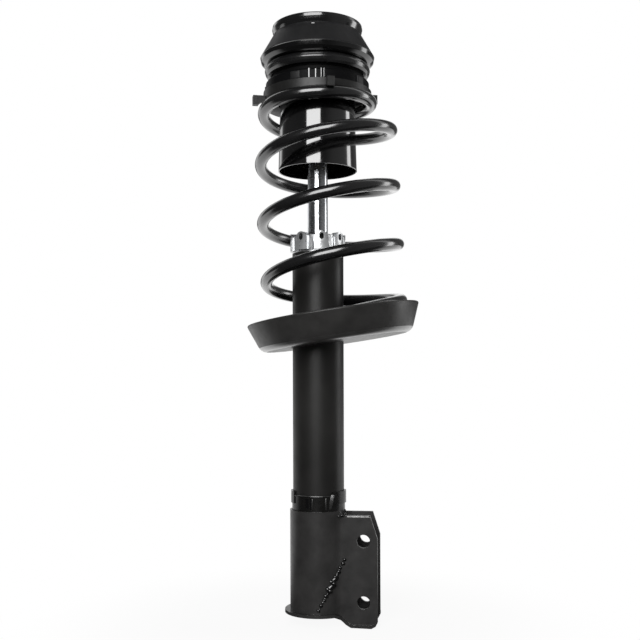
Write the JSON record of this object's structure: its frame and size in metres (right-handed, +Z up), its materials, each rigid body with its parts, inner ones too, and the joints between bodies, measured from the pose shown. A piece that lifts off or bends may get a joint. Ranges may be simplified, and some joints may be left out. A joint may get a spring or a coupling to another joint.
{
  "type": "suspension strut assembly",
  "caption": "Front suspension strut: rubber top mount, steering bearing, side-load coil spring on a tilted seat, damper tube and a two-eared knuckle bracket.",
  "frame": {"origin": "on the strut's axis, in the plane of the top ring's upper face, where the top stud leaves the mount", "axes": "+Z up along the strut's axis and out of the stud's tip, +X from the strut tube towards the knuckle bracket's ears, +Y across the ears"},
  "size_m": [0.1711, 0.1728, 0.606],
  "materials": {
    "gloss_black_steel": "gloss",
    "satin_black_steel": "satin",
    "gloss_black_spring": "gloss powder coat",
    "weld": "satin paint over weld",
    "rubber_cone": "matte to satin",
    "isolator_rubber": "matte",
    "seal_rubber": "matte",
    "bump_foam": "matte foam",
    "seat_plastic": "gloss",
    "shield_plastic": "gloss",
    "bearing_plastic": "matte",
    "cage_plastic": "matte",
    "band_plastic": "matte",
    "bare_steel": "machined",
    "sintered_steel": "sintered",
    "zinc": "zinc plate",
    "ball_steel": "polished",
    "chromed_rod": "polished"
  },
  "bodies": {
    "mount": {"top_ring": "gloss_black_steel", "mount_rubber": "rubber_cone", "mount_cup": "gloss_black_steel", "mount_core": "bare_steel", "top_washer": "zinc", "rod_nut": "zinc", "upper_race": "bearing_plastic", "piston_rod": "chromed_rod", "rebound_cushion": "seal_rubber", "rebound_stop": "bare_steel", "upper_shims": "bare_steel", "piston": "sintered_steel", "piston_band": "band_plastic", "lower_shims": "bare_steel", "piston_nut": "bare_steel", "bump_cup": "gloss_black_steel", "bump_stop": "bump_foam"},
    "bearing_cage_body": {"bearing_cage": "cage_plastic", "ball_1": "ball_steel", "ball_2": "ball_steel", "ball_3": "ball_steel", "ball_4": "ball_steel", "ball_5": "ball_steel", "ball_6": "ball_steel", "ball_7": "ball_steel", "ball_8": "ball_steel", "ball_9": "ball_steel", "ball_10": "ball_steel", "ball_11": "ball_steel", "ball_12": "ball_steel"},
    "upper_seat_body": {"lower_race": "bearing_plastic", "upper_spring_seat": "seat_plastic", "upper_isolator": "isolator_rubber", "dust_shield": "shield_plastic"},
    "strut_body": {"strut_tube": "satin_black_steel", "gland_nut": "zinc", "rod_seal": "seal_rubber", "rod_guide": "sintered_steel", "pressure_tube": "bare_steel", "foot_valve": "sintered_steel", "foot_cap": "satin_black_steel", "lower_spring_seat": "satin_black_steel", "seat_collar": "satin_black_steel", "lower_isolator": "isolator_rubber", "coil_spring": "gloss_black_spring", "clip_ring": "satin_black_steel", "knuckle_bracket": "satin_black_steel", "front_weld": "weld", "rear_weld": "weld"}
  },
  "joints": [
    {"name": "steer_turn", "type": "hinge", "parent": "mount", "child": "upper_seat_body", "pos_m": [0, 0, -0.05], "axis": [0, 0, 1], "range_deg": [-40, 40]},
    {"name": "cage_turn", "type": "hinge", "parent": "mount", "child": "bearing_cage_body", "pos_m": [0, 0, -0.05], "axis": [0, 0, 1], "range_deg": [-20, 20]},
    {"name": "strut_travel", "type": "slide", "parent": "upper_seat_body", "child": "strut_body", "axis": [0, 0, 1], "range_m": [0, 0.115], "stiffness_N_per_m": 20000, "springref_m": -0.02, "deforming": ["coil_spring", "bump_stop"]}
  ],
  "couplings": [
    {"joint": "cage_turn", "follows": "steer_turn", "ratio": 0.5}
  ]
}
